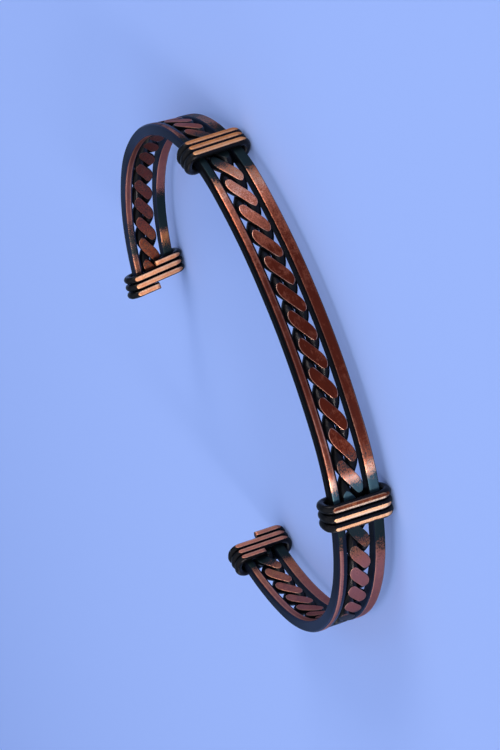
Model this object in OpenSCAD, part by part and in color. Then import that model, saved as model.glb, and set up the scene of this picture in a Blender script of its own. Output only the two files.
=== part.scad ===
// Open copper cuff: two side rails, a two-wire twist between them and four wire wraps.
// It lies on its side: Z is the wrist axis, the front faces -Y and the open ends point to +Y.
// A place on the band is [along, out, across]: along is measured on the inner face from the
// middle of the front, out from the inner face, and across from the middle of the band.

/* [Band] */
// Width of the band over both rails
band_w = 6.2; // [5.9:0.1:6.6]
// Thickness of the rails, outer face to inner face
band_t = 1.55; // [1.5:0.05:1.7]
// Width of the narrow rail
narrow_w = 1.3; // [1.1:0.05:1.4]
// Diameter of the round wire that the narrow rail was squared from
narrow_d = 1.7; // [1.7:0.02:1.8]
// Width of the wide rail
wide_w = 1.45; // [1.2:0.05:1.5]
// Bevel on the edges of the wide rail
wide_bevel = 0.12; // [0.05:0.01:0.2]

/* [Plan] */
// Inner radius of the front
front_r = 57; // [54:1:60]
// Inner radius past the high shoulder
high_shoulder_r = 25; // [24:0.5:27]
// Inner radius past the low shoulder
low_shoulder_r = 23.5; // [22:0.5:25]
// Inner radius of the high side, where it turns in
high_side_r = 18; // [17:0.5:19.5]
// Inner radius of the low side, where it turns in
low_side_r = 20; // [18.5:0.5:21]
// Inner radius of the high end
high_end_r = 50; // [40:1:60]
// Inner radius of the low end
low_end_r = 32.5; // [30:0.5:36]

/* [Twist] */
// Diameter of each twisted wire
strand_d = 1.52; // [1.3:0.02:1.52]
// How far a twisted wire's path swings across the band
strand_swing = 0.8; // [0.74:0.02:0.82]
// How far it swings out and in
strand_rise = 0.5; // [0.44:0.02:0.56]
// Height of the twist's flats above and below its middle
strand_flat = 0.7; // [0.66:0.01:0.74]
// Shift of the twist towards the narrow rail
strand_shift = 0.2; // [0:0.02:0.2]

/* [Wraps] */
// Diameter of the wrap wire
wrap_d = 1.02; // [0.9:0.02:1.04]
// Spacing of the turns
wrap_pitch = 1.07; // [1.07:0.01:1.2]
// Bend radius of the wrap wire at the band's edges
wrap_bend = 1.12; // [1.1:0.02:1.2]
// Depth ground off the turns, outside and inside
wrap_grind = 0.1; // [0.05:0.01:0.15]

/* [Hidden] */
// Clearance between neighbouring pieces, and from the twisted wires to the surface between them
gap = 0.03;
strand_gap = 0.08;
// Sides of a swept wire, and rings for each turn of the twist
wire_sides = 10;
rings_a_turn = 12;
// Steps in each bend of a wrap wire
bend_steps = 4;
// Turns of each wrap
wrap_turns = 3;
copper = [0.55, 0.27, 0.18];
dark_copper = [0.30, 0.16, 0.12];

// Arcs of each side, from the middle of the front to the end: inner radius, then the heading
// at the arc's end as a unit vector [x, y]. Short decimals, so that arcs meet exactly.
HIGH_ARCS = [[front_r, 0.96, 0.28], [high_shoulder_r, 0, 1],
             [high_side_r, -0.8432, 0.5376], [high_end_r, -0.8777, 0.4792]];
LOW_ARCS = [[front_r, 0.96, 0.28], [low_shoulder_r, 0.5376, 0.8432],
            [low_side_r, -0.6, 0.8], [low_end_r, -0.885, 0.4656]];
high_len = arcs_length(HIGH_ARCS);
low_len = arcs_length(LOW_ARCS);

// Twist: place along the band, number of the leaf-shaped flat there, counted from the middle
LEAVES = [[-80, -24.8], [-51.8, -16], [-27.7, -8], [-17.3, -5], [-10.1, -3], [0.1, 0],
          [10.7, 3], [18.6, 5], [26.5, 7], [56.1, 16], [78, 22.9]];

// Wraps: place along the band, lean of the narrow edge, share of each turn's advance that
// the outside takes, and how much further along the inner side lies than the outer
LOW_END = [-70.7, 0, 1, 0];
LOW_SHOULDER = [-24.6, 0.15, 0, 0.1];
HIGH_SHOULDER = [22.5, -0.88, 0, 0.6];
HIGH_END = [69.2, 1.3, 1, 0];

strand_r = strand_d / 2;
wrap_r = wrap_d / 2;
// Centres of a wrap's four bends, from the middle of the band's section
bend_out = max(0, band_t / 2 + gap + wrap_r - wrap_bend);
bend_across = band_w / 2 - 0.2;
wrap_half_t = bend_out + wrap_bend + wrap_r - wrap_grind;
wrap_half_w = bend_across + wrap_bend + wrap_r;

// Shift that puts the middle of the object's box at X0 Y0 and its lowest point at Z0
RIM = [for (s = [-low_len : 0.5 : high_len]) for (n = [0, band_t]) on_plan(s, n)];
WRAP_PLACES = [LOW_END, LOW_SHOULDER, HIGH_SHOULDER, HIGH_END];
WRAP_RIM = [for (w = WRAP_PLACES) for (r = wrap_rings(w)) for (q = r) on_band(q)];
ALL_X = concat([for (p = RIM) p[0]], [for (p = WRAP_RIM) p[0]]);
ALL_Y = concat([for (p = RIM) p[1]], [for (p = WRAP_RIM) p[1]]);
middle = [(min(ALL_X) + max(ALL_X)) / 2, (min(ALL_Y) + max(ALL_Y)) / 2,
          min([for (p = WRAP_RIM) p[2]])];

// Plan of the band

// Heading at the start of arc i
function heading(arcs, i) = i == 0 ? [1, 0] : [arcs[i - 1][1], arcs[i - 1][2]];

function angle_of(v) = atan2(v[1], v[0]);

function arc_length(arcs, i) =
    arcs[i][0] * (angle_of(heading(arcs, i + 1)) - angle_of(heading(arcs, i))) * PI / 180;

function arcs_length(arcs, i = 0) =
    i >= len(arcs) ? 0 : arc_length(arcs, i) + arcs_length(arcs, i + 1);

function arc_centre(arcs, i) =
    i == 0 ? [0, arcs[0][0]]
           : arc_centre(arcs, i - 1) + (arcs[i - 1][0] - arcs[i][0]) * outwards(heading(arcs, i));

// Outward direction at a heading
function outwards(v) = [v[1], -v[0]];

// Place and heading at a length l along a chain of arcs
function walk(arcs, l, i = 0) =
    let (full = arc_length(arcs, i), r = arcs[i][0], c = arc_centre(arcs, i),
         a = angle_of(heading(arcs, i)) + l / r * 180 / PI)
    l <= full || i == len(arcs) - 1
        ? [c[0] + r * sin(a), c[1] - r * cos(a), a]
        : walk(arcs, l - full, i + 1);

function on_plan(s, n) =
    let (side = s < 0 ? -1 : 1, p = walk(s < 0 ? LOW_ARCS : HIGH_ARCS, abs(s)))
    [side * (p[0] + n * sin(p[2])), p[1] - n * cos(p[2])];

function on_band(q) = let (p = on_plan(q[0], q[1])) [p[0], p[1], q[2]];

// Wires swept through rings of points

// Angle from the top of a round wire to the edge of its ground flat
function flat_edge(height, reach) = height >= reach ? 0 : acos(max(-1, height / reach));

// Ring of places of a wire of radius r round c: "up" faces the flat, lo and hi are the angles from
// "up" at which the round part starts and ends
function ring(c, up, side, r, lo, hi) =
    let (half = wire_sides / 2)
    [for (j = [0 : wire_sides - 1])
        let (k = j < half ? j : wire_sides - 1 - j,
             th = lo + (hi - lo) * k / (half - 1),
             sn = j < half ? 1 : -1)
        c + r * (cos(th) * up + sn * sin(th) * side)];

module sweep(rings) {
    m = wire_sides;
    last = len(rings) - 1;
    skin = [for (i = [0 : last - 1]) for (j = [0 : m - 1])
        let (a = i * m + j, b = i * m + (j + 1) % m)
        each [[a, b, b + m], [a, b + m, a + m]]];
    caps = [[for (j = [m - 1 : -1 : 0]) j], [for (j = [0 : m - 1]) last * m + j]];
    points = [for (r = rings) for (q = r) on_band(q)];
    polyhedron(points = points, faces = concat(skin, caps), convexity = 10);
}

// Rails

// One rail: its section, given as children and drawn round the origin, swept along the arcs
module rail(centre_z) {
    for (side = [-1, 1]) {
        arcs = side < 0 ? LOW_ARCS : HIGH_ARCS;
        mirror([side < 0 ? 1 : 0, 0, 0])
            for (i = [0 : len(arcs) - 1])
                translate(arc_centre(arcs, i))
                    intersection() {
                        rotate_extrude($fn = 240)
                            translate([arcs[i][0] + band_t / 2, centre_z])
                                children();
                        sector(outwards(heading(arcs, i)), outwards(heading(arcs, i + 1)));
                    }
    }
}

// Wedge between two directions from the origin
module sector(from, to) {
    reach = 2 * front_r;
    linear_extrude(height = 2 * band_w, center = true)
        polygon([[0, 0], reach * from, reach * to]);
}

module rail_narrow() {
    color(copper)
        rail((band_w - narrow_w) / 2)
            intersection() {
                circle(d = narrow_d, $fn = 48);
                square([band_t, narrow_w], center = true);
            }
}

module rail_wide() {
    x = band_t / 2;
    y = wide_w / 2;
    b = wide_bevel;
    color(copper)
        rail((wide_w - band_w) / 2)
            polygon([[-x, b - y], [b - x, -y], [x - b, -y], [x, b - y],
                     [x, y - b], [x - b, y], [b - x, y], [-x, y - b]]);
}

// Twist

// Turns that the twist has made at a place along the band: a leaf of each face is half a turn.
// The mean of three places rounds off the changes of pitch.
function turns_at(s) = 0.25 + (lookup(s - 2, LEAVES) + lookup(s, LEAVES) + lookup(s + 2, LEAVES)) / 6;

function tightness_at(s) = (turns_at(s + 1) - turns_at(s - 1)) / 2;

function strand_ring(s, start) =
    let (a = 360 * turns_at(s) + start,
         w = 2 * PI * tightness_at(s),
         c = [s, band_t / 2 + strand_rise * sin(a), strand_shift - strand_swing * cos(a)],
         t = [1, strand_rise * w * cos(a), strand_swing * w * sin(a)],
         along = t / norm(t),
         u = [0, 1, 0] - along[1] * along,
         up = u / norm(u),
         side = cross(along, up),
         reach = strand_r * up[1],
         mid = 180 / wire_sides,
         lo = flat_edge(strand_flat - strand_rise * sin(a), reach),
         hi = flat_edge(strand_flat + strand_rise * sin(a), reach))
    [for (q = ring(c, up, side, strand_r, max(mid, lo), 180 - max(mid, hi))) own_side(q, start)];

// The wires are pressed against each other: a place is kept on its own wire's side of the
// surface that turns between them
function own_side(q, start) =
    let (a = 360 * turns_at(q[0]) + start,
         rise = sin(a),
         swing = -cos(a),
         push = max(0, strand_gap - (q[1] - band_t / 2) * rise - (q[2] - strand_shift) * swing))
    q + push * [0, rise, swing];

module strand(start) {
    turns = turns_at(high_len) - turns_at(-low_len);
    steps = ceil(turns * rings_a_turn);
    color(copper)
        sweep([for (i = [0 : steps])
            strand_ring(-low_len + (low_len + high_len) * i / steps, start)]);
}

module twist_strand_a() {
    strand(0);
}

module twist_strand_b() {
    strand(180);
}

// Wraps

// Path of a wrap wire: rows of place [along, out, across] and the way it faces, as an angle
// from straight out. It starts in the middle of the inner face and goes round the wide edge.
function wrap_path(wrap) =
    let (first = wrap[0] - (wrap_turns - 1 + wrap[2]) * wrap_pitch / 2,
         outside = wrap[2] * wrap_pitch,
         inside = wrap_pitch - outside,
         reach = bend_out + wrap_bend,
         inner = band_t / 2 - reach)
    concat(
        [[[first - inside / 2 + wrap[3], inner, 0], 180]],
        [for (k = [0 : wrap_turns - 1]) for (q = [0 : 3]) for (j = [0 : bend_steps])
            let (face = 180 + 90 * (q + j / bend_steps),
                 out = (q == 1 || q == 2 ? bend_out : -bend_out) + wrap_bend * cos(face),
                 across = (q < 2 ? -bend_across : bend_across) + wrap_bend * sin(face),
                 lean = wrap[1] * across / (2 * wrap_half_w),
                 tuck = wrap[3] * (reach - out) / (2 * reach))
            [[first + k * wrap_pitch + (q < 2 ? 0 : outside) + lean + tuck,
              band_t / 2 + out, across], face]],
        [[[first + (wrap_turns - 1) * wrap_pitch + outside + inside / 2 + wrap[3], inner, 0], 180]]);

function wrap_ring(path, i) =
    let (p = path[i][0],
         before = path[max(0, i - 1)][0],
         after = path[min(len(path) - 1, i + 1)][0],
         along = (after - before) / norm(after - before),
         out = [0, cos(path[i][1]), sin(path[i][1])],
         u = out - (out * along) * along,
         up = u / norm(u),
         side = cross(along, up),
         height = wrap_half_t - abs(p[1] - band_t / 2),
         reach = wrap_r * abs(up[1]),
         lo = flat_edge(height, reach))
    ring(p, up, side, wrap_r, max(180 / wire_sides, lo), 180 - 180 / wire_sides);

function wrap_rings(wrap) = let (path = wrap_path(wrap)) [for (i = [0 : len(path) - 1]) wrap_ring(path, i)];

module wrap_wire(wrap) {
    color(dark_copper)
        sweep(wrap_rings(wrap));
}

module wrap_end_low() {
    wrap_wire(LOW_END);
}

module wrap_shoulder_low() {
    wrap_wire(LOW_SHOULDER);
}

module wrap_shoulder_high() {
    wrap_wire(HIGH_SHOULDER);
}

module wrap_end_high() {
    wrap_wire(HIGH_END);
}

translate(-middle) {
    rail_narrow();
    rail_wide();
    twist_strand_a();
    twist_strand_b();
    wrap_end_low();
    wrap_shoulder_low();
    wrap_shoulder_high();
    wrap_end_high();
}
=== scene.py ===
import math

import bpy
import numpy as np
from mathutils import Matrix, Vector


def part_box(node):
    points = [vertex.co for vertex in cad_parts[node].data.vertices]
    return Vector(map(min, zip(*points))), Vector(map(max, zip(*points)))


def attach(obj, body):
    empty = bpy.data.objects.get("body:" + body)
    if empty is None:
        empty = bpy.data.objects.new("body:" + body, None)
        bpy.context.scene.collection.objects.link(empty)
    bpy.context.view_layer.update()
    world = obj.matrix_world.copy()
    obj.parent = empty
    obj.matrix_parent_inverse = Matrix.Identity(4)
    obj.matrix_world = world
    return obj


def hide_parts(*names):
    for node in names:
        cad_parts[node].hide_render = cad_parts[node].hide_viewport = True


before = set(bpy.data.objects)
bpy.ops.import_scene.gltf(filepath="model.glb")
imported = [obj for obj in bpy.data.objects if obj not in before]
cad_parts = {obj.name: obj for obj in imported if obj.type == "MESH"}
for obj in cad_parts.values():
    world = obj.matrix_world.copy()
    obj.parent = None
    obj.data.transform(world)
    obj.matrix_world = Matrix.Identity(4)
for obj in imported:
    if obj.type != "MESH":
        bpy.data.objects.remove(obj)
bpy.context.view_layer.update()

MM_A_METRE = 1000

# Sizes in mm, the same as the solids' own. A place on the band is along, out, across: along is
# measured on the inner face from the middle of the front, out from the inner face, and across
# from the middle of the band.
BAND_W = 6.2
BAND_T = 1.55
NARROW_W = 1.3
NARROW_D = 1.7
WIDE_W = 1.45
WIDE_BEVEL = 0.12

# Twist: diameter of its wires, how far they swing across and rise out, height of their ground
# flats from the middle of the band, gap kept to the surface between them, and how far the twist
# lies towards the narrow rail
STRAND_D = 1.52
STRAND_SWING = 0.8
STRAND_RISE = 0.5
STRAND_FLAT = 0.7
STRAND_GAP = 0.03
STRAND_SHIFT = 0.2

# Binding wire: its diameter, the step from turn to turn, the radius of its bends round the band's
# edges, how much is ground off it, its turns, and the bends' clearance and inset
WRAP_D = 1.02
WRAP_PITCH = 1.07
WRAP_BEND = 1.12
WRAP_GRIND = 0.1
WRAP_TURNS = 3
WRAP_CLEARANCE = 0.03
WRAP_INSET = 0.23
WRAP_BEND_OUT = BAND_T / 2 + WRAP_CLEARANCE + WRAP_D / 2 - WRAP_BEND
WRAP_BEND_ACROSS = BAND_W / 2 - WRAP_INSET
WRAP_HALF_W = WRAP_BEND_ACROSS + WRAP_BEND + WRAP_D / 2
WRAP_HALF_T = WRAP_BEND_OUT + WRAP_BEND + WRAP_D / 2 - WRAP_GRIND

# Arcs of each side: inner radius, then the heading at the arc's end
HIGH_ARCS = ((57, 0.96, 0.28), (25, 0, 1), (18, -0.8432, 0.5376), (50, -0.8777, 0.4792))
LOW_ARCS = ((57, 0.96, 0.28), (23.5, 0.5376, 0.8432), (20, -0.6, 0.8), (32.5, -0.885, 0.4656))

# Place along the band, and number of the leaf-shaped flat there
LEAVES = np.array((
    (-80, -24.8), (-51.8, -16), (-27.7, -8), (-17.3, -5), (-10.1, -3), (0.1, 0),
    (10.7, 3), (18.6, 5), (26.5, 7), (56.1, 16), (78, 22.9),
))

# Wraps: place along the band, lean of the narrow edge, share of each advance taken outside,
# and how much further along the inner side lies than the outer
WRAPS = {
    "wrap_end_low": (-70.7, 0.0, 1.0, 0.0),
    "wrap_shoulder_low": (-24.6, 0.15, 0.0, 0.1),
    "wrap_shoulder_high": (22.5, -0.88, 0.0, 0.6),
    "wrap_end_high": (69.2, 1.3, 1.0, 0.0),
}
LOW_WRAP = WRAPS["wrap_shoulder_low"][0]
HIGH_WRAP = WRAPS["wrap_shoulder_high"][0]


# Plan of the band

def arc_rows(arcs):
    """Rows of length before the arc, radius, centre x, centre y and starting angle."""
    rows = []
    length = 0.0
    angle = 0.0
    centre = np.array((0.0, arcs[0][0]))
    radius = arcs[0][0]
    for new_radius, x, y in arcs:
        centre = centre + (radius - new_radius) * np.array((math.sin(angle), -math.cos(angle)))
        radius = new_radius
        rows.append((length, radius, centre[0], centre[1], angle))
        end_angle = math.atan2(y, x)
        length += radius * (end_angle - angle)
        angle = end_angle
    return np.array(rows), length


HIGH_ROWS, HIGH_LENGTH = arc_rows(HIGH_ARCS)
LOW_ROWS, LOW_LENGTH = arc_rows(LOW_ARCS)


def on_plan(along, out):
    """X and Y in mm of places on the band, from the middle of the front's inner face."""
    x = np.zeros_like(along)
    y = np.zeros_like(along)
    for side, rows in ((-1, LOW_ROWS), (1, HIGH_ROWS)):
        chosen = along < 0 if side < 0 else along >= 0
        length = np.abs(along[chosen])
        row = rows[np.clip(np.searchsorted(rows[:, 0], length, side="right") - 1, 0, len(rows) - 1)]
        angle = row[:, 4] + (length - row[:, 0]) / row[:, 1]
        reach = row[:, 1] + out[chosen]
        x[chosen] = side * (row[:, 2] + reach * np.sin(angle))
        y[chosen] = row[:, 3] - reach * np.cos(angle)
    return x, y


PLAN_SAMPLES = 4000


def plan_origin():
    """Where the plan starts in the object's frame, in mm, found from the wide rail's box."""
    along = np.linspace(-LOW_LENGTH, HIGH_LENGTH, PLAN_SAMPLES)
    x, y = on_plan(along, np.full_like(along, BAND_T))
    low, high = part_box("rail_wide")
    return np.array((
        high[0] * MM_A_METRE - x.max(), low[1] * MM_A_METRE - y.min(), low[2] * MM_A_METRE + BAND_W / 2,
    ))


ORIGIN = plan_origin()


def on_band(places):
    """Points in metres for an array of places along, out, across."""
    flat = places.reshape(-1, 3)
    x, y = on_plan(flat[:, 0], flat[:, 1])
    points = np.column_stack((x, y, flat[:, 2])) + ORIGIN
    return (points / MM_A_METRE).reshape(places.shape)


# Meshes

def smooth_step(value, low, high):
    """0 up to the low value, 1 from the high one, and eased between them."""
    t = np.clip((value - low) / (high - low), 0, 1)
    return t * t * (3 - 2 * t)


def bump(value, middle, width):
    """1 at the middle, falling smoothly to almost nothing at twice the width from it."""
    return np.exp(-((value - middle) / width) ** 2)


def unit_rows(rows):
    return rows / np.linalg.norm(rows, axis=1)[:, None]


def sweep_piece(name, places, marks):
    """Closed skin over rings of places, with caps, and the marks kept as point attributes."""
    rings, sides = places.shape[:2]
    ring = np.arange(rings - 1)[:, None] * sides
    side = np.arange(sides)[None, :]
    after = (side + 1) % sides
    skin = np.stack((ring + side, ring + after, ring + sides + after, ring + sides + side), axis=-1)
    faces = skin.reshape(-1, 4).tolist()
    faces.append(list(range(sides - 1, -1, -1)))
    faces.append(list(range((rings - 1) * sides, rings * sides)))
    mesh = bpy.data.meshes.new(name)
    mesh.from_pydata(on_band(places).reshape(-1, 3).tolist(), [], faces)
    smooth = np.ones(len(faces), dtype=bool)
    smooth[-2:] = False
    mesh.polygons.foreach_set("use_smooth", smooth)
    place = mesh.attributes.new("place", "FLOAT_VECTOR", "POINT")
    place.data.foreach_set("vector", places.reshape(-1).astype(np.float32))
    for label, values in marks.items():
        everywhere = np.broadcast_to(values, places.shape[:2])
        mark = mesh.attributes.new(label, "FLOAT", "POINT")
        mark.data.foreach_set("value", everywhere.reshape(-1).astype(np.float32))
    mesh.update()
    piece = bpy.data.objects.new(name, mesh)
    bpy.context.scene.collection.objects.link(piece)
    return piece


# Colour marks along the band

# Brightness of the ground faces, partly the copper's own uneven finish and partly painted
# reflection of the lights, bright by the shoulders and dark in the middle of the front: place
# along the band, outer face, inner face
TONES = np.array((
    (-72, 0.5, 0.3), (-66, 0.5, 0.34), (-60, 0.42, 0.26), (-50, 0.3, 0.2), (-42, 0.22, 0.16),
    (-34, 0.34, 0.16), (-29, 0.4, 0.16), (-26.5, 0.5, 0.16), (-22, 1, 0.16), (-20.2, 0.9, 0.16),
    (-19, 0.3, 0.16), (-17.4, 0.06, 0.16), (-14, -0.03, 0.16), (-3, -0.03, 0.16), (1, 0, 0.16),
    (5, 0.07, 0.16), (8, 0.12, 0.16), (10, 0.3, 0.16), (12, 0.46, 0.16), (15, 0.6, 0.16),
    (17, 0.64, 0.16), (21, 0.64, 0.16), (26, 0.26, 0.16), (33, 0.22, 0.12), (45, 0.3, 0.12),
    (56, 0.36, 0.12), (61, 0.42, 0.06), (66, 0.5, 0.14), (72, 0.5, 0.2),
))

# Dark patina left on the ground faces: place along the band, outer face, inner face
PATINA = np.array((
    (-72, 1, 1), (-68, 0.9, 0.9), (-66.5, 0.3, 0.4), (-65, 0, 0), (-53, 0, 0), (-50, 0, 0.4),
    (-40, 0, 0.4), (-34, 0, 0), (-32.4, 0.26, 0.2), (-31, 0.4, 0.35), (-29.6, 0.68, 0.5),
    (-27.8, 1, 1), (-22.4, 1, 1), (-21.4, 0.75, 1), (-20.5, 0.2, 0.6), (-19.2, 0.46, 0),
    (-18, 0.42, 0), (-16.8, 0, 0), (15, 0, 0), (17, 0.38, 0.2), (18.6, 0.95, 0.8), (24, 1, 1),
    (26, 0.7, 0.6), (29, 0.1, 0), (31.5, 0.05, 0), (37, 0.45, 0), (44, 0.45, 0), (52.5, 0, 0),
    (56.5, 0.1, 0.4), (58.5, 0.15, 1), (62.4, 0.2, 1), (64, 0.3, 0.25), (65, 0.5, 0.55),
    (66.4, 0.9, 0.9), (72, 1, 1),
))

# Golden heat colour beside the patina: place along the band, outer face, inner face
GOLD = np.array((
    (-72, 0.2, 0.2), (-66, 0.5, 0.5), (-62, 0.2, 0.1), (-55, 0, 0), (-32.5, 0, 0), (-30.8, 0.2, 0),
    (-29, 0.6, 0), (-26, 0, 0), (14, 0, 0), (17.6, 0.4, 0), (20, 0.6, 0), (28, 0, 0), (60, 0, 0),
    (62.8, 0.2, 0.4), (64.2, 0.6, 0.9), (72, 0.5, 0.8),
))

# Painted sheen: a blue-grey reflection painted on the rails' dark sides, strongest on the bends:
# place along the band, strength
PAINTED_SHEEN = np.array((
    (-72, 0.05), (-64, 0.25), (-56, 0.5), (-48, 1), (-44, 1.3), (-40, 0.8), (-34, 0.35), (-27, 0.25),
    (-23, 0), (20, 0), (25, 0.35), (31, 0.6), (38, 1), (43, 0.95), (49, 0.5), (56, 0.7), (62, 0.5),
    (72, 0.3),
))

# Redder, shaded copper, partly a violet oxide and partly painted shade on the bends and the inner
# face: its strength on the outer face, where it comes in past the shoulders, its strength on the
# inner face, what that loses by the low end and where, and what gold takes from it
OUTER_SHADE = 0.75
OUTER_SHADE_STARTS = (25, 33)
INNER_SHADE = 0.6
INNER_SHADE_LOST = 0.25
INNER_SHADE_FADES = (56, 66)
SHADE_LOST_TO_GOLD = 0.9


def along_marks(along, outer):
    """Colour marks at places along the band; outer is 1 on the outer face, 0 inside."""
    beyond = smooth_step(np.abs(along), *OUTER_SHADE_STARTS)
    inner_shade = INNER_SHADE - INNER_SHADE_LOST * smooth_step(-along, *INNER_SHADE_FADES)
    # Painted shade, partly violet oxide: the shaded copper past the shoulders and on the inner face
    marks = {"shade": beyond * outer * OUTER_SHADE + (1 - outer) * inner_shade}
    for label, table in (("tone", TONES), ("patina", PATINA), ("gold", GOLD)):
        outside = np.interp(along, table[:, 0], table[:, 1])
        inside = np.interp(along, table[:, 0], table[:, 2])
        marks[label] = inside + (outside - inside) * outer
    marks["shade"] = marks["shade"] * (1 - SHADE_LOST_TO_GOLD * marks["gold"])
    return marks


# Rails

SECTION_POINTS = 52
SECTION_ANGLES = 1441
CORNER_SHARPNESS = 34

# A section's points are spread by its length and, closer together at its corners, by its turning
LENGTH_SHARE = 0.4
TURNING_SHARE = 0.6


def rail_section(reaches):
    """Section with softened corners: reaches are radial distances over the angle, nearest wins."""
    angle = np.linspace(0, 2 * np.pi, SECTION_ANGLES)
    nearest = sum(np.maximum(1 / reach(angle), 1e-3) ** CORNER_SHARPNESS for reach in reaches)
    radius = nearest ** (-1 / CORNER_SHARPNESS)
    curve = np.column_stack((radius * np.cos(angle), radius * np.sin(angle)))
    step = np.diff(curve, axis=0)
    length = np.hypot(step[:, 0], step[:, 1])
    heading = np.unwrap(np.arctan2(step[:, 1], step[:, 0]))
    turning = np.abs(np.diff(heading, append=heading[0] + 2 * np.pi))
    weight = LENGTH_SHARE * length / length.sum() + TURNING_SHARE * turning / turning.sum()
    travelled = np.concatenate(((0.0,), np.cumsum(weight)))
    wanted = np.linspace(0, 1, SECTION_POINTS, endpoint=False)
    return np.column_stack([np.interp(wanted, travelled, curve[:, k]) for k in (0, 1)])


def flat_reach(distance, facing):
    return lambda angle: distance / np.maximum(np.abs(np.cos(angle - facing)), 1e-6)


def bevel_reach(distance):
    return lambda angle: distance / (np.abs(np.cos(angle)) + np.abs(np.sin(angle)))


def round_reach(radius):
    return lambda angle: np.full_like(angle, radius)


# Rings along a rail: the step between them, the distances of the first ones from its end, the
# share by which the section narrows towards the end, and the distances over which it does
STATION_STEP = 0.35
END_STATIONS = (0.0, 0.04, 0.12)
END_TAPER = 0.1
END_TAPER_REACH = (-0.06, 0.14)

# Handmade unevenness: height and wave lengths of a rail's waver and of its dents, how much of the
# waver goes across, how much the dents press the faces in, and how abruptly
WAVER = (0.012, (1.9, 3.7, 7.3))
DENTS = (0.014, (1.3, 2.9, 5.1))
WAVER_ACROSS = 0.6
DENT_PRESS = 0.02
DENT_SUDDENNESS = 40
LATEST_START = 6.28


def rail_stations():
    """Places along the band of a rail's rings, closer together at its ends."""
    stations = np.arange(-LOW_LENGTH, HIGH_LENGTH, STATION_STEP)
    low_end = [-LOW_LENGTH + step for step in END_STATIONS]
    high_end = [HIGH_LENGTH - step for step in reversed(END_STATIONS)]
    along = np.concatenate((low_end, stations[1:-1], high_end))
    return np.unique(np.clip(along, -LOW_LENGTH, HIGH_LENGTH))


def uneven(along, height, waves, rng):
    """Slow unevenness along the band: waves of the given lengths, each starting at random."""
    starts = rng.uniform(0, LATEST_START, len(waves))
    return sum(height * np.sin(along / wave + start) for wave, start in zip(waves, starts))


def rail_places(section, along, centre_across, seed):
    """Rings of a rail, with a slight handmade waver, pressed faces and eased ends."""
    rng = np.random.default_rng(seed)
    waver = uneven(along, *WAVER, rng)
    dents = uneven(along, *DENTS, rng)
    end = np.minimum(along + LOW_LENGTH, HIGH_LENGTH - along)
    ease = 1 - END_TAPER * (1 - smooth_step(end, *END_TAPER_REACH))
    press = 1 - DENT_PRESS * (0.5 + 0.5 * np.tanh(dents[:, None] * DENT_SUDDENNESS))
    across = section[None, :, 1] * ease[:, None]
    places = np.empty((len(along), len(section), 3))
    places[:, :, 0] = along[:, None]
    places[:, :, 1] = BAND_T / 2 + section[None, :, 0] * ease[:, None] * press
    places[:, :, 2] = centre_across + across + WAVER_ACROSS * waver[:, None]
    return places


# A rail's ground face: its edge's height as a share of the half thickness, the breadth of the
# painted highlight along its rim, and the stretch across the section over which the twist's half
# of it begins
FACE_EDGE = 0.985
RIM_BREADTH = 0.008
TWIST_HALF = (-0.12, 0.16)

# Stretches to both sides of the front's middle, in mm: where the front ends, where the bends
# start, and where the grinding missed less again. Then how much less, and how much fainter the
# painted rim highlights are on the front's outer face.
FRONT_ENDS = (10, 17)
BENDS_START = (25.5, 29)
BENDS_FADE = (39, 50)
BENDS_FADE_BY = 0.6
FRONT_RIM_LOST = 0.65


def rail_ground(section, reach, polish_from, missed):
    """How far a rail's points were ground bright, and the painted highlight on its rims.

    reach is the distance along the band from the middle of the front. polish_from and missed are
    as rail_marks has them.
    """
    outer = (section[:, 0] > 0)[None, :]
    height = np.abs(section[:, 0]) / (BAND_T / 2)
    bends = smooth_step(reach, *BENDS_START) * (1 - BENDS_FADE_BY * smooth_step(reach, *BENDS_FADE))
    unworn = missed * bends * smooth_step(-section[:, 1], *TWIST_HALF)[None, :] * outer
    ground = smooth_step(height, polish_from, FACE_EDGE)[None, :] * (1 - unworn)
    front = 1 - smooth_step(reach, *FRONT_ENDS)
    # Painted highlight along the rims of the ground face, fainter on the front's outer face
    rim = bump(height, FACE_EDGE, RIM_BREADTH)[None, :] * (1 - FRONT_RIM_LOST * outer * front)
    return ground, rim


# Before this place, past the low shoulder's wrap, the outer marks move the other way and further
MARKS_TURN_AT = -25
MARKS_TURN_BY = -2.4

# Inner face by the high end: where the heat's marks start, where soot comes in if they are weak,
# how much of it, and what tone and shade are lost where there are none
BURN_FROM = 40
END_SOOT_STARTS = (59, 65)
END_SOOT = 0.5
UNBURNT_TONE_LOST = 0.25
UNBURNT_SHADE_LOST = 0.9

# Outer face: middle and width of the high bend's darkening, its strength, what the painted
# blue-grey reflection adds to it, and the middle, width and depth of the duller stretch before
# the high shoulder
HIGH_BEND = (31.5, 5.5)
HIGH_BEND_DARKENING = 0.4
REFLECTION_DARKENING = 0.16
DULL_STRETCH = (12, 2.8)
DULLNESS = 0.15


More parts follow.
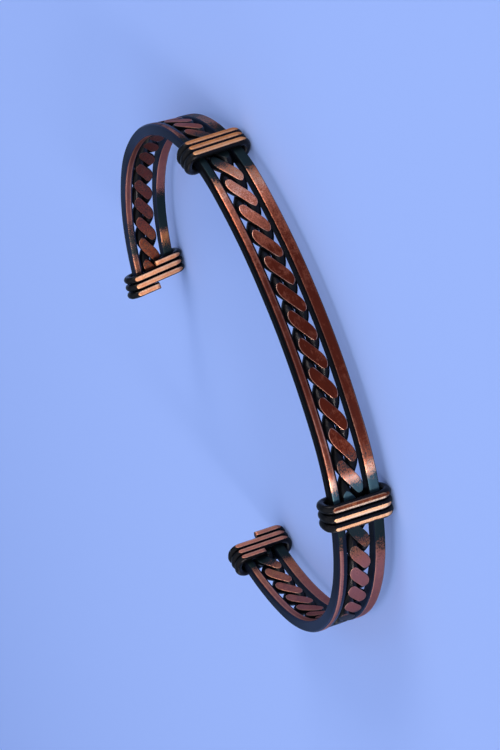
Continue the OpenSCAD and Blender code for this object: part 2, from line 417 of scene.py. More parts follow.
def rail_marks(section, along, polish_from, missed, haze, inner_burn, burn_shift, mark_shift):
    """Colour marks of a rail.

    polish_from is how near the face the grinding starts, missed how much of the half towards the
    twist it left dark past the shoulders, haze how strongly a blue-grey reflection
    is painted on the high bend, inner_burn how strongly the heat marked the inner face by the high
    end, burn_shift how much nearer the end it did so, and mark_shift how far the outer marks lie
    towards the low shoulder's wrap.
    """
    station = along[:, None]
    outer = (section[:, 0] > 0)[None, :].astype(float)
    burnt = (station > BURN_FROM) & (outer < 0.5)
    towards_wrap = np.where(station < MARKS_TURN_AT, MARKS_TURN_BY, 1)
    marks = along_marks(station + (mark_shift * outer * towards_wrap - burn_shift * burnt), outer)
    burn = np.where(burnt, inner_burn, 1.0)
    unburnt = 1 - burn
    # Darker high bend, more so where a blue-grey reflection is painted
    high_bend = outer * bump(station, *HIGH_BEND)
    darkening = (HIGH_BEND_DARKENING + REFLECTION_DARKENING * haze) * high_bend
    darkening = darkening + END_SOOT * unburnt * smooth_step(station, *END_SOOT_STARTS)
    marks["patina"] = marks["patina"] * burn + darkening
    marks["gold"] = marks["gold"] * burn ** 2
    # The painted reflection lifts the tone on the high bend into the teal film, a painted blue-grey
    # reflection
    marks["tone"] = marks["tone"] - UNBURNT_TONE_LOST * unburnt + haze * high_bend
    marks["tone"] = marks["tone"] - DULLNESS * outer * bump(station, *DULL_STRETCH)
    marks["shade"] = marks["shade"] * (1 - UNBURNT_SHADE_LOST * unburnt)
    marks["ground"], marks["rim"] = rail_ground(section, np.abs(station), polish_from, missed)
    # Painted sheen on the rails' dark sides
    marks["side"] = np.interp(station, PAINTED_SHEEN[:, 0], PAINTED_SHEEN[:, 1])
    return marks


def make_rail(name, section, centre_across, seed, **finish):
    """A rail: its section swept along the band, with the finish that rail_marks asks for."""
    along = rail_stations()
    places = rail_places(section, along, centre_across, seed)
    return sweep_piece(name + "_drawn", places, rail_marks(section, along, **finish))


# Wires with ground flats

ROUND_STEPS = 11
EDGE_STEPS = 5
FLAT_STEPS = 4

# Lowest and highest flat, as a share of the wire's radius, and the most of a flat's half width
# that its rounded-over edge takes
FLAT_HEIGHTS = (-0.35, 0.998)
MOST_EDGE = 0.45

# Across the rounded edge: where the polish fades, and how much sooner the painted rim
# highlight is past
POLISH_FADES = (0.35, 1.0)
RIM_HASTE = 1.15

# Half widths of a flat as a share of the radius: where its marks come in, and where it is so broad
# that its painted rim highlight is weaker, with how much weaker
MARKS_COME_IN = (0.03, 0.16)
BROAD_FLAT = (0.6, 0.9)
BROAD_RIM_LOST = 0.65


def half_flat(r, top, edge):
    """Half outline of a ground flat, from its middle over its rounded edge to the round wire.

    r is the wire's radius and top the height of the flat over the wire's middle, per ring; edge is
    how far the rounded edge reaches. Returns x, y, ground and rim per ring and point, and the
    angle per ring where the round wire starts.
    """
    rings = len(top)
    limit = np.clip(top / r, *FLAT_HEIGHTS)
    corner = np.arccos(limit)
    half = r * np.sin(np.minimum(corner, np.pi / 2))
    reach = np.minimum(edge, MOST_EDGE * half)
    height = r * limit
    x, y, ground, rim = [], [], [], []
    for k in range(FLAT_STEPS):
        x.append((half - reach) * k / FLAT_STEPS)
        y.append(height)
        ground.append(np.ones(rings))
        rim.append(np.zeros(rings))
    start = np.column_stack((half - reach, height))
    turned = corner + reach / r
    finish = np.column_stack((r * np.sin(turned), r * np.cos(turned)))
    middle = np.column_stack((half, height))
    for k in range(EDGE_STEPS + 1):
        t = k / EDGE_STEPS
        point = start * (1 - t) ** 2 + middle * 2 * t * (1 - t) + finish * t * t
        x.append(point[:, 0])
        y.append(point[:, 1])
        ground.append(np.full(rings, 1 - smooth_step(t, *POLISH_FADES)))
        # Painted highlight along the flat's rounded edge
        rim.append(np.full(rings, math.sin(math.pi * min(1, t * RIM_HASTE))))
    x, y, ground, rim = [np.column_stack(part) for part in (x, y, ground, rim)]
    flat_size = smooth_step(half / r, *MARKS_COME_IN)
    rim_size = flat_size * (1 - BROAD_RIM_LOST * smooth_step(half / r, *BROAD_FLAT))
    return x, y, ground * flat_size[:, None], rim * rim_size[:, None], turned


def whole_ring(half, sign=1):
    """Values all round a ring: those of one half, then the same ones back again, times the sign."""
    return np.hstack((half, sign * half[:, -2:0:-1]))


def ground_wire(centres, up, side, r, top, bottom, edge):
    """Rings round a wire ground flat on top and bottom, with ground and painted highlight marks."""
    top_x, top_y, top_ground, top_rim, start = half_flat(r, top, edge)
    low_x, low_y, low_ground, low_rim, low_start = half_flat(r, bottom, edge)
    finish = np.pi - low_start
    steps = np.arange(1, ROUND_STEPS) / ROUND_STEPS
    angle = start[:, None] + (finish - start)[:, None] * steps
    nothing = np.zeros_like(angle)
    x = whole_ring(np.hstack((top_x, r * np.sin(angle), low_x[:, ::-1])), -1)
    y = whole_ring(np.hstack((top_y, r * np.cos(angle), -low_y[:, ::-1])))
    ground = whole_ring(np.hstack((top_ground, nothing, low_ground[:, ::-1])))
    rim = whole_ring(np.hstack((top_rim, nothing, low_rim[:, ::-1])))
    places = centres[:, None] + y[:, :, None] * up[:, None] + x[:, :, None] * side[:, None]
    return places, ground, rim


# Twist

RINGS_A_TURN = 42
LEAVES_A_TURN = 2
STRAND_EDGE = 0.075

# Turn at leaf number 0, where the first wire stands highest
FIRST_TURN = 0.25

# Distances in mm at which the leaves' numbers are read and averaged, so that the lay is smooth
LEAF_READINGS = (-2, 0, 2)


def turns_at(along):
    """Turns of the twist at places along the band."""
    number = sum(np.interp(along + shift, LEAVES[:, 0], LEAVES[:, 1]) for shift in LEAF_READINGS)
    return FIRST_TURN + number / (len(LEAF_READINGS) * LEAVES_A_TURN)


def own_side(places, start):
    """Places of a twisted wire, kept on its own side of the surface that turns between the two."""
    a = 2 * np.pi * turns_at(places[:, :, 0]) + start
    rise, swing = np.sin(a), -np.cos(a)
    depth = (places[:, :, 1] - BAND_T / 2) * rise + (places[:, :, 2] - STRAND_SHIFT) * swing
    push = np.maximum(0, STRAND_GAP - depth)
    return places + np.stack((np.zeros_like(push), push * rise, push * swing), axis=-1)


# Outer face: how much further along than its own place the twist's patina is read, in mm, from the
# low end to the low shoulder's wrap, from there to the front's middle, and on to the high
# shoulder's wrap. Then how much further its tone is read, from the low wrap to the middle.
PATINA_READINGS = (-1.2, 0.4, -1.4)
TONE_READING = 0.7

# Outer face: middle, width and strength of a darker place by the low shoulder, then where the
# stretch that the grinding missed starts and, counted down the low side, ends, and its darkness
DARK_PLACE = (-20, 1.5)
DARK_PLACE_STRENGTH = 0.2
MISSED_STARTS = (-47.5, -45.5)
MISSED_ENDS = (40.3, 41.8)
MISSED_DARKNESS = 0.8

# Inner face by the high end, which the heat marked only a little
TWIST_BURN_FROM = 50
TWIST_BURN = 0.15

# Inner face past the high shoulder, darkened there as painted shade: its share of shade and rim
# highlight, the least patina that darkens it, and the tone lost all along it and in its last
# stretch
DIM_FROM = 25
DIM_SHARE = 0.3
DIM_SHADE_DARKNESS = 0.42
DIM_TONE_LOST = 0.1
LAST_STRETCH_FROM = 57
LAST_TONE_LOST = 0.06


def strand_marks(places, flat_ground, flat_rim):
    """Colour marks of a twisted wire, from its places and the ground and rim of its flats."""
    place = places[:, :, 0]
    outer = (places[:, :, 1] > BAND_T / 2).astype(float)
    inner = outer < 0.5
    marks = along_marks(place, outer)
    reading = np.select((place < LOW_WRAP, place < 0, place < HIGH_WRAP), PATINA_READINGS, 0.0)
    patina = along_marks(place + reading * outer, outer)["patina"]
    patina = patina + DARK_PLACE_STRENGTH * outer * bump(place, *DARK_PLACE)
    burn = np.where((place > TWIST_BURN_FROM) & inner, TWIST_BURN, 1.0)
    missed = smooth_step(-place, *MISSED_ENDS) * smooth_step(place, *MISSED_STARTS)
    patina = np.maximum(patina * burn, MISSED_DARKNESS * missed * outer)
    # Painted shade on the inner face past the high shoulder: more patina, less tone, and weaker shaded
    # copper and rim highlights
    painted_shade = (place > DIM_FROM) & inner
    dimmed = np.where(painted_shade, DIM_SHARE, 1.0)
    tone_further = along_marks(place + TONE_READING * outer, outer)["tone"]
    tone = np.where((place > LOW_WRAP) & (place < 0), tone_further, marks["tone"])
    tone = tone - np.where(painted_shade, DIM_TONE_LOST, 0.0)
    marks["tone"] = tone - np.where(painted_shade & (place > LAST_STRETCH_FROM), LAST_TONE_LOST, 0.0)
    marks["patina"] = np.maximum(patina, np.where(painted_shade, DIM_SHADE_DARKNESS, 0.0))
    marks["gold"] = marks["gold"] * burn
    marks["shade"] = marks["shade"] * dimmed
    marks["ground"] = flat_ground
    marks["rim"] = flat_rim * dimmed
    marks["side"] = np.zeros_like(flat_ground)
    return marks


def make_strand(name, start):
    """One wire of the twist, ground flat on the band's outer and inner side.

    start is the wire's own angle round the twist, in radians, half a turn from the other wire's.
    """
    turns = turns_at(HIGH_LENGTH) - turns_at(-LOW_LENGTH)
    along = np.linspace(-LOW_LENGTH, HIGH_LENGTH, int(turns * RINGS_A_TURN))
    a = 2 * np.pi * turns_at(along) + start
    turning = np.pi * (turns_at(along + 1) - turns_at(along - 1))
    centre_out = BAND_T / 2 + STRAND_RISE * np.sin(a)
    centres = np.column_stack((along, centre_out, STRAND_SHIFT - STRAND_SWING * np.cos(a)))
    heading = unit_rows(np.column_stack((
        np.ones_like(a), STRAND_RISE * turning * np.cos(a), STRAND_SWING * turning * np.sin(a),
    )))
    up = unit_rows(np.array((0.0, 1.0, 0.0)) - heading[:, 1:2] * heading)
    side = np.cross(heading, up)
    top = (STRAND_FLAT - STRAND_RISE * np.sin(a)) / up[:, 1]
    bottom = (STRAND_FLAT + STRAND_RISE * np.sin(a)) / up[:, 1]
    places, ground, rim = ground_wire(centres, up, side, STRAND_D / 2, top, bottom, STRAND_EDGE)
    places = own_side(places, start)
    return sweep_piece(name + "_drawn", places, strand_marks(places, ground, rim))


# Wraps

BENDS_A_TURN = 4
BEND_STEPS = 12
FACE_STEP = 0.3
MOST_FACE_STEPS = 14
WRAP_EDGE = 0.1

# Tone of each turn's ground face, first to last along the band, partly a painted highlight where
# it is bright, then gold, shade, the painted highlight on the lower edge, and how dark the other
# edge of the bright turns stays
WRAP_FINISH = {
    "wrap_end_low": ((0.29, 0.33, 0.33), 0.0, 0.5, 0.25, 0.0),
    "wrap_shoulder_low": ((0.9, 0.95, 0.02), 0.0, 0.0, 1.0, 1.0),
    "wrap_shoulder_high": ((0.75, 0.5, 0.5), 0.6, 0.0, 0.35, 0.0),
    "wrap_end_high": ((0.6, 0.68, 0.64), 0.0, 0.15, 0.55, 0.0),
}


def bend_row(turn, bend, step, first, outside, lean, tuck):
    """Along, out, across, facing angle and turn's number at one step of one bend of a wrap."""
    bends_done = bend + step / BEND_STEPS
    face = math.pi * (1 + bends_done / 2)
    out_side = 1 if bend in (1, 2) else -1
    across_side = -1 if bend < 2 else 1
    out = out_side * WRAP_BEND_OUT + WRAP_BEND * math.cos(face)
    across = across_side * WRAP_BEND_ACROSS + WRAP_BEND * math.sin(face)
    along = first + turn * WRAP_PITCH + (0 if bend < 2 else outside)
    along += lean * across / (2 * WRAP_HALF_W)
    along += tuck * (0.5 - out / (2 * (WRAP_BEND_OUT + WRAP_BEND)))
    facing = face + 2 * math.pi * turn
    return along, BAND_T / 2 + out, across, facing, turn + bends_done / BENDS_A_TURN


def filled_rows(rows):
    """The rows, with more of them set evenly along the straight stretches between bends."""
    filled = [rows[0]]
    for before, after in zip(rows[:-1], rows[1:]):
        gap = np.linalg.norm(after[:3] - before[:3])
        parts = max(1, min(MOST_FACE_STEPS, int(gap / FACE_STEP)))
        for k in range(1, parts + 1):
            filled.append(before + (after - before) * k / parts)
    return np.array(filled)


def wrap_path(place, lean, share, tuck):
    """Centre line of a wrap, from the middle of the inner face round its turns and back to it.

    Each row holds along, out, across, the facing angle and the turn's number.
    """
    first = place - (WRAP_TURNS - 1 + share) * WRAP_PITCH / 2
    outside = share * WRAP_PITCH
    inside = WRAP_PITCH - outside
    inner = BAND_T / 2 - WRAP_BEND_OUT - WRAP_BEND
    rows = [(first - inside / 2 + tuck, inner, 0.0, math.pi, 0.0)]
    for turn in range(WRAP_TURNS):
        for bend in range(BENDS_A_TURN):
            for step in range(BEND_STEPS + 1):
                rows.append(bend_row(turn, bend, step, first, outside, lean, tuck))
    last = first + (WRAP_TURNS - 1) * WRAP_PITCH + outside + inside / 2 + tuck
    rows.append((last, inner, 0.0, math.pi * (1 + 2 * WRAP_TURNS), WRAP_TURNS))
    path = filled_rows(np.array(rows))
    path[:, 3] = np.round(path[:, 3], 9)
    return path


# How squarely a wrap's surface faces away from the band where its polish starts and is full, and
# how nearly the wire is on a face, 1 being on it, where the narrow edge's bends have their polish
POLISH_FACING = (0.72, 0.88)
POLISH_BY_FACE = (0.88, 0.98)
ON_FACE = 0.999

# From a turn's middle to its edges, the higher one being further along the band: where the higher
# edge of the bright turns goes dark, where the lower edge of the first turn does and how much, and
# where a painted highlight on the lower edge starts. Then the tone from which a turn is bright, and
# the share that is left of the flats' own painted rim highlights.
HIGHER_EDGE_DARKENS = (0.18, 0.42)
LOWER_EDGE_DARKENS = (0.22, 0.52)
LOWER_EDGE_DARKNESS = 0.6
EDGE_GLINT_STARTS = (0.12, 0.42)
BRIGHT_TURN = 0.5
RIM_SHARE = 0.3


def wrap_marks(finish, path, places, flat_ground, flat_rim):
    """Colour marks of a wrap, from its finish and the ground and rim marks of its flats."""
    tones, gold, shade, edge_glint_strength, dark_edge = finish
    centres = path[:, :3]
    by_face = np.abs(np.cos(path[:, 3]))
    turn = np.clip(path[:, 4], 0, WRAP_TURNS - 0.01).astype(int)
    tone = np.array(tones)[turn][:, None]
    ring = places - centres[:, None]
    ring /= np.maximum(np.linalg.norm(ring, axis=2), 1e-6)[:, :, None]
    facing = ring[:, :, 1] * np.sign(centres[:, 1] - BAND_T / 2)[:, None]
    polish = np.maximum(flat_ground, smooth_step(facing, *POLISH_FACING))
    narrow_bend = (by_face < ON_FACE) & (centres[:, 2] > 0)
    polish = polish * np.where(narrow_bend, smooth_step(by_face, *POLISH_BY_FACE), 1.0)[:, None]
    higher_edge = smooth_step(ring[:, :, 0], *HIGHER_EDGE_DARKENS)
    polish = polish * (1 - dark_edge * (tone > BRIGHT_TURN) * higher_edge)
    first_turn = dark_edge * (turn == 0)[:, None]
    lower_edge = smooth_step(-ring[:, :, 0], *LOWER_EDGE_DARKENS)
    polish = polish * (1 - LOWER_EDGE_DARKNESS * first_turn * lower_edge)
    # Painted highlight along the lower edge of the turns
    bright = edge_glint_strength * (1 - first_turn) * smooth_step(-ring[:, :, 0], *EDGE_GLINT_STARTS)
    return {
        "tone": tone, "patina": np.zeros_like(tone), "gold": np.full_like(tone, gold),
        "ground": polish, "rim": np.maximum(flat_rim * RIM_SHARE, bright * polish),
        "side": np.zeros_like(tone), "shade": np.full_like(tone, shade),
    }


def make_wrap(name, place, lean, share, tuck):
    """One wrap: three turns of wire round the whole band, ground on the outer and inner face."""
    path = wrap_path(place, lean, share, tuck)
    centres = path[:, :3]
    before = np.vstack((centres[:1], centres[:-1]))
    after = np.vstack((centres[1:], centres[-1:]))
    heading = unit_rows(after - before)
    out = np.column_stack((np.zeros(len(path)), np.cos(path[:, 3]), np.sin(path[:, 3])))
    up = unit_rows(out - np.sum(out * heading, axis=1)[:, None] * heading)
    side = np.cross(heading, up)
    height = WRAP_HALF_T - np.abs(centres[:, 1] - BAND_T / 2)
    top = height / np.maximum(np.abs(up[:, 1]), 1e-3)
    bottom = np.full(len(path), WRAP_D)
    places, ground, rim = ground_wire(centres, up, side, WRAP_D / 2, top, bottom, WRAP_EDGE)
    marks = wrap_marks(WRAP_FINISH[name], path, places, ground, rim)
    return sweep_piece(name + "_drawn", places, marks)


# Node groups and materials

# A mix node's first value, second value and result, by their places among its sockets
MIX_SOCKETS = {"FLOAT": (2, 3, 0), "RGBA": (6, 7, 2)}


class Sheet:
    """Short ways to add nodes to one node tree."""

    def __init__(self, tree):
        self.tree = tree

    def node(self, kind, **settings):
        made = self.tree.nodes.new(kind)
        for label, value in settings.items():
            setattr(made, label, value)
        return made

    def feed(self, socket, value):
        if isinstance(value, bpy.types.NodeSocket):
            self.tree.links.new(value, socket)
        else:
            socket.default_value = value

    def maths(self, operation, *values):
        made = self.node("ShaderNodeMath", operation=operation)
        for socket, value in zip(made.inputs, values):
            self.feed(socket, value)
        return made.outputs[0]

    def plus(self, first, second):
        return self.maths("ADD", first, second)

    def minus(self, first, second):
        return self.maths("SUBTRACT", first, second)

    def times(self, first, second):
        return self.maths("MULTIPLY", first, second)

    def times_plus(self, first, second, third):
        return self.maths("MULTIPLY_ADD", first, second, third)

    def swayed(self, value, mask, amount):
        """The value moved by half the amount, down where the mask is 0 and up where it is 1."""
        return self.times_plus(mask, amount, self.minus(value, amount / 2))

    def ramp(self, value, low, high, curve="LINEAR"):
        """0 up to the low value, 1 from the high one."""
        made = self.node("ShaderNodeMapRange", interpolation_type=curve)
        self.feed(made.inputs["Value"], value)
        self.feed(made.inputs["From Min"], low)
        self.feed(made.inputs["From Max"], high)
        return made.outputs["Result"]

    def fade(self, value, low, high):
        return self.ramp(value, low, high, "SMOOTHSTEP")

    def mix(self, kind, factor, first, second):
        made = self.node("ShaderNodeMix", data_type=kind)
        first_at, second_at, result_at = MIX_SOCKETS[kind]
        self.feed(made.inputs[0], factor)
        self.feed(made.inputs[first_at], first)
        self.feed(made.inputs[second_at], second)
        return made.outputs[result_at]

    def blend(self, factor, first, second):
        return self.mix("RGBA", factor, first, second)

    def between(self, factor, first, second):
        return self.mix("FLOAT", factor, first, second)

    def noise(self, vector, scale, detail, rough):
        made = self.node("ShaderNodeTexNoise")
        self.feed(made.inputs["Vector"], vector)
        self.feed(made.inputs["Scale"], scale)
        self.feed(made.inputs["Detail"], detail)
        self.feed(made.inputs["Roughness"], rough)
        return made.outputs["Fac"]

    def stretched(self, vector, scale):
        made = self.node("ShaderNodeVectorMath", operation="MULTIPLY")
        self.feed(made.inputs[0], vector)
        self.feed(made.inputs[1], scale)
        return made.outputs[0]

    def mark(self, label, part="Fac"):
        made = self.node("ShaderNodeAttribute", attribute_name=label)
        return made.outputs[part]

    def group(self, group, **values):
        made = self.node("ShaderNodeGroup")
        made.node_tree = group
        for label, value in values.items():
            self.feed(made.inputs[label.replace("_", " ")], value)
        return made.outputs


FLOAT = "NodeSocketFloat"
COLOUR = "NodeSocketColor"
VECTOR = "NodeSocketVector"


def new_group(name, inputs, outputs):
    """Shader node group with named sockets, as a sheet with its input and output sockets."""
    group = bpy.data.node_groups.new(name, "ShaderNodeTree")
    for label, kind, start in inputs:
        socket = group.interface.new_socket(name=label, in_out="INPUT", socket_type=kind)
        if start is not None:
            socket.default_value = start
    for label, kind in outputs:
        group.interface.new_socket(name=label, in_out="OUTPUT", socket_type=kind)
    sheet = Sheet(group)
    given = sheet.node("NodeGroupInput").outputs
    result = sheet.node("NodeGroupOutput").inputs
    return group, sheet, given, result


# Middle stretch of a noise's values, which the masks spread out to the whole way from 0 to 1
NOISE_MIDDLE = (0.3, 0.7)

# Filing streaks run along the band, so their noise is drawn out that way
STREAK_STRETCH = (0.35, 5.0, 5.0)

# Pits: how many there are to a mm, where their edges lie, and the noise that they keep to
PIT_SCALE = 3.4
PIT_EDGE = (0.08, 0.24)
PIT_PATCHES = (0.5, 0.66)


def make_grain_group():
    """Marks of filing and wear: soft mottling, fine grain, filing streaks and small pits."""
    group, sheet, given, result = new_group(
        "worn grain",
        [("Place", VECTOR, None), ("Mottle Size", FLOAT, 0.9), ("Pit Amount", FLOAT, 0.5)],
        [("Mottle", FLOAT), ("Grain", FLOAT), ("Streaks", FLOAT), ("Pits", FLOAT)],
    )
    place = given["Place"]
    mottle = sheet.noise(place, given["Mottle Size"], detail=4.0, rough=0.62)
    sheet.feed(result["Mottle"], sheet.fade(mottle, *NOISE_MIDDLE))
    grain = sheet.noise(place, scale=5.5, detail=3.0, rough=0.6)
    sheet.feed(result["Grain"], sheet.fade(grain, *NOISE_MIDDLE))
    streaks = sheet.noise(sheet.stretched(place, STREAK_STRETCH), scale=1.6, detail=3.0, rough=0.6)
    sheet.feed(result["Streaks"], sheet.fade(streaks, *NOISE_MIDDLE))
    spots = sheet.node("ShaderNodeTexVoronoi", feature="F1")
    sheet.feed(spots.inputs["Vector"], place)
    sheet.feed(spots.inputs["Scale"], PIT_SCALE)
    small = sheet.minus(1.0, sheet.fade(spots.outputs["Distance"], *PIT_EDGE))
    patches = sheet.fade(sheet.noise(place, scale=1.1, detail=2.0, rough=0.5), *PIT_PATCHES)
    pits = sheet.times(small, patches)
    sheet.feed(result["Pits"], sheet.times(pits, given["Pit Amount"]))
    return group


# Tone at which the ground copper has its middle colour
MIDDLE_TONE = 0.5

# How much the masks sway the tone, the patina's cover and the edge of the ground faces
MOTTLE_ON_TONE = 0.2
STREAKS_ON_TONE = 0.08
MOTTLE_ON_PATINA = 0.16
GRAIN_ON_PATINA = 0.4
GRAIN_ON_GROUND = 0.16

# Speckles show more on bright copper: their strength where the tone is 0, and what the tone adds
SPECKLE_LEAST = 0.06
SPECKLE_WITH_TONE = 0.7

# The mottling that lets gold through, how much of a painted rim highlight shows where the grain
# is 0 and where it is 1, how much patina covers the copper, the tones with the teal film, which on
# the high bend stands for a painted blue-grey reflection, and how far a face is ground where it
# shows bright
GOLD_MOTTLE = (-0.2, 0.9)
RIM_SHOWS = (0.45, 0.9)
PATINA_COVERS = (0.22, 0.78)
TEAL_TONES = (0.6, 1.0)
GROUND_SHOWS = (0.35, 0.7)

# Surface of the patina and of the recesses, and the height of each mark in the relief
STREAKS_ON_ROUGHNESS = 0.12
PATINA_ROUGHNESS = 0.42
PATINA_METAL = 0.7
RECESS_ROUGHNESS = 0.27
RECESS_METAL = 0.0
GRAIN_HEIGHT = 0.3
STREAK_HEIGHT = 0.35
PIT_DEPTH = 1.4


def copper_tone(sheet, given):
    """How bright the ground copper is, made uneven by its mottling, streaks and grain."""
    tone = sheet.swayed(given["Tone"], given["Mottle"], MOTTLE_ON_TONE)
    tone = sheet.swayed(tone, given["Streaks"], STREAKS_ON_TONE)
    speckle = sheet.minus(given["Grain"], 0.5)
    speckle = sheet.times(speckle, given["Speckle"])
    speckle = sheet.times(speckle, sheet.times_plus(given["Tone"], SPECKLE_WITH_TONE, SPECKLE_LEAST))
    return sheet.plus(tone, speckle)


def ground_colour(sheet, given):
    """Colour of the ground copper: its tone, then gold, shade, painted rim highlights and pits over it.
    """
    tone = copper_tone(sheet, given)
    to_mid = sheet.ramp(tone, 0.0, MIDDLE_TONE)
    to_bright = sheet.ramp(tone, MIDDLE_TONE, 1.0)
    colour = sheet.blend(to_mid, given["Dull Copper"], given["Mid Copper"])
    colour = sheet.blend(to_bright, colour, given["Bright Copper"])
    gold = sheet.times(given["Gold"], sheet.fade(given["Mottle"], *GOLD_MOTTLE))
    colour = sheet.blend(gold, colour, given["Gold Copper"])
    colour = sheet.blend(given["Shade"], colour, given["Shaded Copper"])
    # Painted highlight along the rims, in Rim Copper
    rim = sheet.times(given["Rim"], sheet.between(given["Grain"], *RIM_SHOWS))
    colour = sheet.blend(rim, colour, given["Rim Copper"])
    return sheet.blend(given["Pits"], colour, given["Recess Colour"])


def make_copper_group():
    """Colour, roughness, metal and height of copper that was darkened and then ground bright.

    Its colour also carries painted shade, a painted sheen and painted highlights.
    """
    group, sheet, given, result = new_group(
        "antiqued copper",
        [
            ("Ground", FLOAT, 1.0), ("Rim", FLOAT, 0.0), ("Tone", FLOAT, 0.5), ("Patina", FLOAT, 0.0),
            ("Gold", FLOAT, 0.0), ("Side", FLOAT, 0.0), ("Shade", FLOAT, 0.0), ("Mottle", FLOAT, 0.5),
            ("Grain", FLOAT, 0.5), ("Streaks", FLOAT, 0.5), ("Pits", FLOAT, 0.0), ("Speckle", FLOAT, 1.0),
            ("Satin", FLOAT, 0.34),
            # Rim Copper is the painted highlight on the rims, Shaded Copper a painted shade that is
            # partly a violet oxide, and Side Colour a painted blue-grey sheen on the rails' dark sides
            ("Dull Copper", COLOUR, (0.1, 0.025, 0.013, 1)), ("Mid Copper", COLOUR, (0.4, 0.15, 0.09, 1)),
            ("Bright Copper", COLOUR, (0.95, 0.5, 0.34, 1)), ("Rim Copper", COLOUR, (0.8, 0.5, 0.4, 1)),
            ("Gold Copper", COLOUR, (0.5, 0.2, 0.06, 1)), ("Shaded Copper", COLOUR, (0.5, 0.18, 0.15, 1)),
            ("Patina Colour", COLOUR, (0.014, 0.024, 0.025, 1)),
            ("Teal Patina", COLOUR, (0.04, 0.08, 0.095, 1)),
            ("Recess Colour", COLOUR, (0.003, 0.0032, 0.004, 1)),
            ("Side Colour", COLOUR, (0.022, 0.035, 0.075, 1)),
        ],
        [("Colour", COLOUR), ("Roughness", FLOAT), ("Metal", FLOAT), ("Height", FLOAT)],
    )
    colour = ground_colour(sheet, given)
    dark = sheet.swayed(given["Patina"], given["Mottle"], MOTTLE_ON_PATINA)
    dark = sheet.fade(sheet.swayed(dark, given["Grain"], GRAIN_ON_PATINA), *PATINA_COVERS)
    teal = sheet.fade(given["Tone"], *TEAL_TONES)
    film = sheet.blend(teal, given["Patina Colour"], given["Teal Patina"])
    colour = sheet.blend(dark, colour, film)
    worn = sheet.swayed(given["Ground"], given["Grain"], GRAIN_ON_GROUND)
    worn = sheet.fade(worn, *GROUND_SHOWS)
    # Painted sheen: the rails' dark sides are blended towards Side Colour by the side mark
    recess = sheet.blend(given["Side"], given["Recess Colour"], given["Side Colour"])
    sheet.feed(result["Colour"], sheet.blend(worn, recess, colour))
    rough = sheet.times_plus(given["Streaks"], STREAKS_ON_ROUGHNESS, given["Satin"])
    rough = sheet.between(dark, rough, PATINA_ROUGHNESS)
    sheet.feed(result["Roughness"], sheet.between(worn, RECESS_ROUGHNESS, rough))
    metal = sheet.between(dark, 1.0, PATINA_METAL)
    sheet.feed(result["Metal"], sheet.between(worn, RECESS_METAL, metal))
    streak_height = sheet.times(given["Streaks"], STREAK_HEIGHT)
    height = sheet.times_plus(given["Grain"], GRAIN_HEIGHT, streak_height)
    sheet.feed(result["Height"], sheet.minus(height, sheet.times(given["Pits"], PIT_DEPTH)))
    return group


GRAIN = make_grain_group()
COPPER = make_copper_group()
SPECULAR_TINT = (0.5, 0.45, 0.45, 1)
RELIEF_STRENGTH = 0.5
RELIEF_METRES = 0.00003


def make_material(name, mottle_size, pit_amount, speckle, satin, specular, **colours):
    """Antiqued copper with its own colours, on the marks that the piece's mesh carries."""
    material = bpy.data.materials.new(name)
    material.use_nodes = True
    sheet = Sheet(material.node_tree)
    shader = material.node_tree.nodes["Principled BSDF"]
    grain = sheet.group(
        GRAIN, Place=sheet.mark("place", "Vector"), Mottle_Size=mottle_size, Pit_Amount=pit_amount,
    )
    marks = ("ground", "rim", "tone", "patina", "gold", "side", "shade")
    copper = sheet.group(
        COPPER, **{label.capitalize(): sheet.mark(label) for label in marks},
        Mottle=grain["Mottle"], Grain=grain["Grain"], Streaks=grain["Streaks"], Pits=grain["Pits"],
        Speckle=speckle, Satin=satin, **{label: (*value, 1) for label, value in colours.items()},
    )
    sheet.feed(shader.inputs["Base Color"], copper["Colour"])
    sheet.feed(shader.inputs["Roughness"], copper["Roughness"])
    sheet.feed(shader.inputs["Metallic"], copper["Metal"])
    shader.inputs["Specular IOR Level"].default_value = specular
    shader.inputs["Specular Tint"].default_value = SPECULAR_TINT
    relief = sheet.node("ShaderNodeBump")
    relief.inputs["Strength"].default_value = RELIEF_STRENGTH
    relief.inputs["Distance"].default_value = RELIEF_METRES
    sheet.feed(relief.inputs["Height"], copper["Height"])
    sheet.feed(shader.inputs["Normal"], relief.outputs["Normal"])
    return material


# Bright Copper in each is partly painted reflection of the lights, and Rim Copper is the colour of the
# painted highlight on the rims
RAIL_COPPER = make_material(
    "antiqued copper rail", mottle_size=0.8, pit_amount=0.7, speckle=1.0, satin=0.34, specular=0.02,
    Dull_Copper=(0.14, 0.021, 0.008), Mid_Copper=(0.62, 0.17, 0.075), Bright_Copper=(1.0, 0.58, 0.36),
    Rim_Copper=(0.9, 0.42, 0.25), Gold_Copper=(0.5, 0.2, 0.045),
)
TWIST_COPPER = make_material(
    "antiqued copper twist", mottle_size=1.1, pit_amount=0.7, speckle=1.0, satin=0.34, specular=0.25,
    Dull_Copper=(0.14, 0.021, 0.008), Mid_Copper=(0.66, 0.18, 0.08), Bright_Copper=(1.0, 0.6, 0.4),
    Rim_Copper=(0.9, 0.5, 0.34), Gold_Copper=(0.5, 0.2, 0.045),
)
WRAP_COPPER = make_material(
    "wrap copper", mottle_size=1.0, pit_amount=0.5, speckle=0.45, satin=0.42, specular=0.25,
    Dull_Copper=(0.12, 0.028, 0.013), Mid_Copper=(0.75, 0.26, 0.09), Bright_Copper=(1.0, 0.55, 0.27),
    Gold_Copper=(0.85, 0.3, 0.065), Rim_Copper=(1.0, 0.72, 0.46),
)


# Pieces

NARROW_SECTION = rail_section((
    round_reach(NARROW_D / 2), flat_reach(BAND_T / 2, 0), flat_reach(NARROW_W / 2, math.pi / 2),
))
WIDE_SECTION = rail_section((
    flat_reach(BAND_T / 2, 0), flat_reach(WIDE_W / 2, math.pi / 2),
    bevel_reach((BAND_T + WIDE_W) / 2 - WIDE_BEVEL),
))


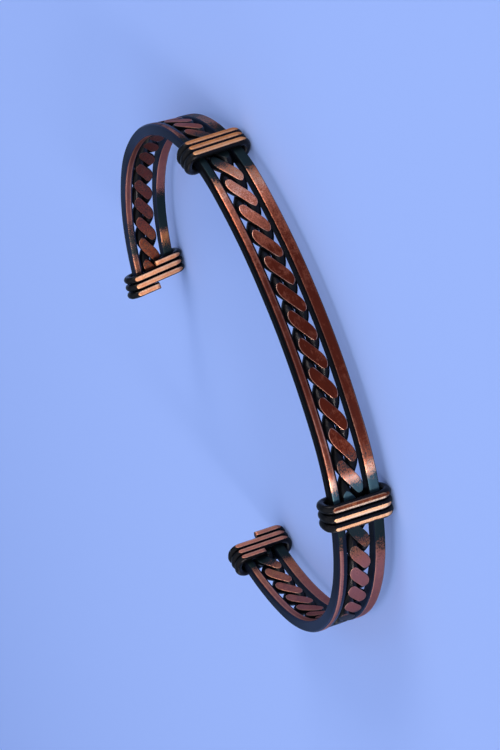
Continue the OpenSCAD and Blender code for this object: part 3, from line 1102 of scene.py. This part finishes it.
def dress(node, piece, material):
    piece.data.materials.append(material)
    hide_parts(node)
    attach(piece, "root")


rail_narrow = make_rail(
    "rail_narrow", NARROW_SECTION, centre_across=(BAND_W - NARROW_W) / 2, seed=3,
    polish_from=0.925, missed=0.95, haze=0.0, inner_burn=0.5, burn_shift=3.0, mark_shift=0.6,
)
dress("rail_narrow", rail_narrow, RAIL_COPPER)
rail_wide = make_rail(
    "rail_wide", WIDE_SECTION, centre_across=(WIDE_W - BAND_W) / 2, seed=8,
    polish_from=0.96, missed=0.0, haze=0.7, inner_burn=1.0, burn_shift=0.0, mark_shift=0.0,
)
dress("rail_wide", rail_wide, RAIL_COPPER)
for strand_name, strand_start in (("twist_strand_a", 0.0), ("twist_strand_b", math.pi)):
    strand = make_strand(strand_name, strand_start)
    dress(strand_name, strand, TWIST_COPPER)
for wrap_name, wrap in WRAPS.items():
    dress(wrap_name, make_wrap(wrap_name, *wrap), WRAP_COPPER)


# Floor, light and camera

FLOOR_HALF = 2.5
FLOOR_COLOUR = (0.42, 0.56, 1.0, 1)
FLOOR_ROUGHNESS = 0.85
SURROUND_COLOUR = (0.5, 0.65, 1.0, 1)
SURROUND_STRENGTH = 0.36

# Soft square lights: place and size in metres, power, colour, and their beam's angle in degrees
LIGHTS = {
    "key": ((-0.9, -1.5, 3.0), 6.6, 126.0, (0.9, 0.95, 1.0), 180),
    "front_left": ((-0.84, -0.71, 0.13), 0.2, 0.8, (1.0, 0.95, 0.92), 60),
    "front_right": ((0.84, -0.7, 0.28), 0.55, 0.78, (1.0, 0.97, 0.93), 60),
    "left": ((-0.8, 0.4, 0.2), 0.35, 0.13, (1.0, 0.97, 0.93), 60),
}

# Camera: which way it looks, the picture's right and down, its place in mm from the plan's start,
# its focal length in picture heights, its sensor in mm, and the nearest that it sees in metres
VIEW_FORWARD = Vector((0.25246, 0.91121, -0.32552))
VIEW_RIGHT = Vector((-0.35875, -0.2243, -0.90609))
VIEW_DOWN = Vector((-0.89865, 0.34553, 0.27027))
VIEW_PLACE = (-53.325, -167.662, 67.721)
VIEW_FOCUS = 1642.84 / 750
SENSOR = 24
NEAREST_SEEN = 0.005


def make_floor():
    mesh = bpy.data.meshes.new("floor")
    h = FLOOR_HALF
    mesh.from_pydata([(-h, -h, 0), (h, -h, 0), (h, h, 0), (-h, h, 0)], [], [(0, 1, 2, 3)])
    floor = bpy.data.objects.new("floor", mesh)
    bpy.context.scene.collection.objects.link(floor)
    material = bpy.data.materials.new("pale floor")
    material.use_nodes = True
    shader = material.node_tree.nodes["Principled BSDF"]
    shader.inputs["Base Color"].default_value = FLOOR_COLOUR
    shader.inputs["Roughness"].default_value = FLOOR_ROUGHNESS
    shader.inputs["Specular IOR Level"].default_value = 0.0
    mesh.materials.append(material)


def make_light(name, place, size, power, colour, spread):
    """One of the soft lights, turned to the object's origin."""
    data = bpy.data.lights.new(name, "AREA")
    data.shape = "SQUARE"
    data.size = size
    data.energy = power
    data.color = colour
    data.spread = math.radians(spread)
    light = bpy.data.objects.new(name, data)
    bpy.context.scene.collection.objects.link(light)
    light.location = place
    light.rotation_mode = "QUATERNION"
    light.rotation_quaternion = Vector(place).to_track_quat("Z", "Y")


def make_surround():
    """Soft pale blue light from all round."""
    world = bpy.data.worlds.new("soft surround")
    world.use_nodes = True
    background = world.node_tree.nodes["Background"]
    background.inputs["Color"].default_value = SURROUND_COLOUR
    background.inputs["Strength"].default_value = SURROUND_STRENGTH
    bpy.context.scene.world = world


def make_camera():
    """Camera at the photograph's angle to the cuff."""
    data = bpy.data.cameras.new("camera")
    camera = bpy.data.objects.new("camera", data)
    bpy.context.scene.collection.objects.link(camera)
    turn = Matrix.Identity(3)
    turn.col[0] = VIEW_RIGHT
    turn.col[1] = -VIEW_DOWN
    turn.col[2] = -VIEW_FORWARD
    camera.rotation_mode = "QUATERNION"
    camera.rotation_quaternion = turn.to_quaternion()
    camera.location = Vector((np.array(VIEW_PLACE) + ORIGIN) / MM_A_METRE)
    data.sensor_fit = "VERTICAL"
    data.sensor_height = SENSOR
    data.sensor_width = SENSOR
    data.lens = VIEW_FOCUS * SENSOR
    data.clip_start = NEAREST_SEEN
    bpy.context.scene.camera = camera


make_floor()
for light_name, light in LIGHTS.items():
    make_light(light_name, *light)
make_surround()
bpy.context.scene.view_settings.view_transform = "Standard"
make_camera()
